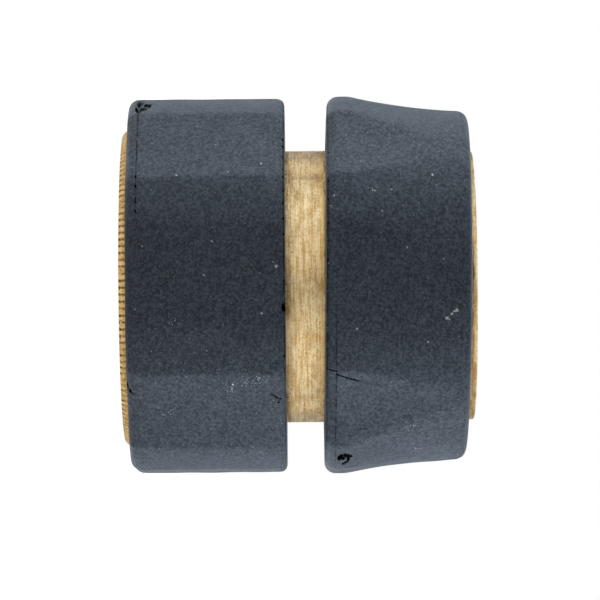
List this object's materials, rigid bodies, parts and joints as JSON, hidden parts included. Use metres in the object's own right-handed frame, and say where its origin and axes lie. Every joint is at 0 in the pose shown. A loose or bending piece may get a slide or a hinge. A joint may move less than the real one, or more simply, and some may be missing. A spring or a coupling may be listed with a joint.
{
  "type": "brass quick connector",
  "caption": "Brass hose quick connector with a clamping hose nut, a barbed tail, a ball-lock plug socket and a spring-loaded release sleeve, both gripped in black rubber.",
  "frame": {"origin": "on the connector's axis, at the middle of the hose nut's end face, which it stands on", "axes": "+Z along the axis from the hose end to the socket mouth; +X and +Y across it, one flat of each grip facing 4 degrees clockwise of +X seen from the mouth"},
  "size_m": [0.0376, 0.0376, 0.0347],
  "materials": {
    "body_brass": "turned, dulled, with fine tool marks round it",
    "sleeve_brass": "turned, dulled",
    "nut_brass": "turned, straight-knurled outside",
    "grip_rubber": "matte, finely grained, with pale dust",
    "seal_rubber": "smooth, slightly greased",
    "spring_steel": "drawn stainless wire and strip",
    "ball_steel": "polished stainless",
    "clamp_plastic": "moulded, matte"
  },
  "bodies": {
    "connector": {"connector_body": "body_brass", "plug_seal": "seal_rubber", "retaining_ring": "spring_steel"},
    "spring": {"sleeve_spring": "spring_steel"},
    "sleeve": {"release_sleeve": "sleeve_brass", "sleeve_grip": "grip_rubber"},
    "clamp": {"clamp_ring": "clamp_plastic"},
    "nut": {"hose_nut": "nut_brass", "nut_grip": "grip_rubber"},
    "ball_1": {"lock_ball_1": "ball_steel"},
    "ball_2": {"lock_ball_2": "ball_steel"},
    "ball_3": {"lock_ball_3": "ball_steel"},
    "ball_4": {"lock_ball_4": "ball_steel"},
    "ball_5": {"lock_ball_5": "ball_steel"},
    "ball_6": {"lock_ball_6": "ball_steel"},
    "ball_7": {"lock_ball_7": "ball_steel"},
    "ball_8": {"lock_ball_8": "ball_steel"}
  },
  "joints": [
    {"name": "sleeve_turn", "type": "hinge", "parent": "connector", "child": "spring", "pos_m": [0, 0, 0.0221], "axis": [0, 0, 1], "continuous": true},
    {"name": "sleeve_slide", "type": "slide", "parent": "spring", "child": "sleeve", "axis": [0, 0, -1], "range_m": [0, 0.003], "stiffness_N_per_m": 3000, "springref_m": -0.0035, "deforming": ["sleeve_spring"]},
    {"name": "nut_travel", "type": "slide", "parent": "connector", "child": "clamp", "axis": [0, 0, -1], "range_m": [0, 0.0045]},
    {"name": "nut_turn", "type": "hinge", "parent": "clamp", "child": "nut", "pos_m": [0, 0, 0], "axis": [0, 0, -1], "range_deg": [0, 1080]},
    {"name": "ball_slide_1", "type": "slide", "parent": "connector", "child": "ball_1", "axis": [0.9239, 0.3827, 0], "range_m": [0, 0.0007]},
    {"name": "ball_slide_2", "type": "slide", "parent": "connector", "child": "ball_2", "axis": [0.3827, 0.9239, 0], "range_m": [0, 0.0007]},
    {"name": "ball_slide_3", "type": "slide", "parent": "connector", "child": "ball_3", "axis": [-0.3827, 0.9239, 0], "range_m": [0, 0.0007]},
    {"name": "ball_slide_4", "type": "slide", "parent": "connector", "child": "ball_4", "axis": [-0.9239, 0.3827, 0], "range_m": [0, 0.0007]},
    {"name": "ball_slide_5", "type": "slide", "parent": "connector", "child": "ball_5", "axis": [-0.9239, -0.3827, 0], "range_m": [0, 0.0007]},
    {"name": "ball_slide_6", "type": "slide", "parent": "connector", "child": "ball_6", "axis": [-0.3827, -0.9239, 0], "range_m": [0, 0.0007]},
    {"name": "ball_slide_7", "type": "slide", "parent": "connector", "child": "ball_7", "axis": [0.3827, -0.9239, 0], "range_m": [0, 0.0007]},
    {"name": "ball_slide_8", "type": "slide", "parent": "connector", "child": "ball_8", "axis": [0.9239, -0.3827, 0], "range_m": [0, 0.0007]}
  ],
  "couplings": [
    {"joint": "nut_travel", "follows": "nut_turn", "m_per_rad": 0.00023873},
    {"joint": "ball_slide_1", "follows": "sleeve_slide", "ratio": 0.2333},
    {"joint": "ball_slide_2", "follows": "sleeve_slide", "ratio": 0.2333},
    {"joint": "ball_slide_3", "follows": "sleeve_slide", "ratio": 0.2333},
    {"joint": "ball_slide_4", "follows": "sleeve_slide", "ratio": 0.2333},
    {"joint": "ball_slide_5", "follows": "sleeve_slide", "ratio": 0.2333},
    {"joint": "ball_slide_6", "follows": "sleeve_slide", "ratio": 0.2333},
    {"joint": "ball_slide_7", "follows": "sleeve_slide", "ratio": 0.2333},
    {"joint": "ball_slide_8", "follows": "sleeve_slide", "ratio": 0.2333}
  ]
}
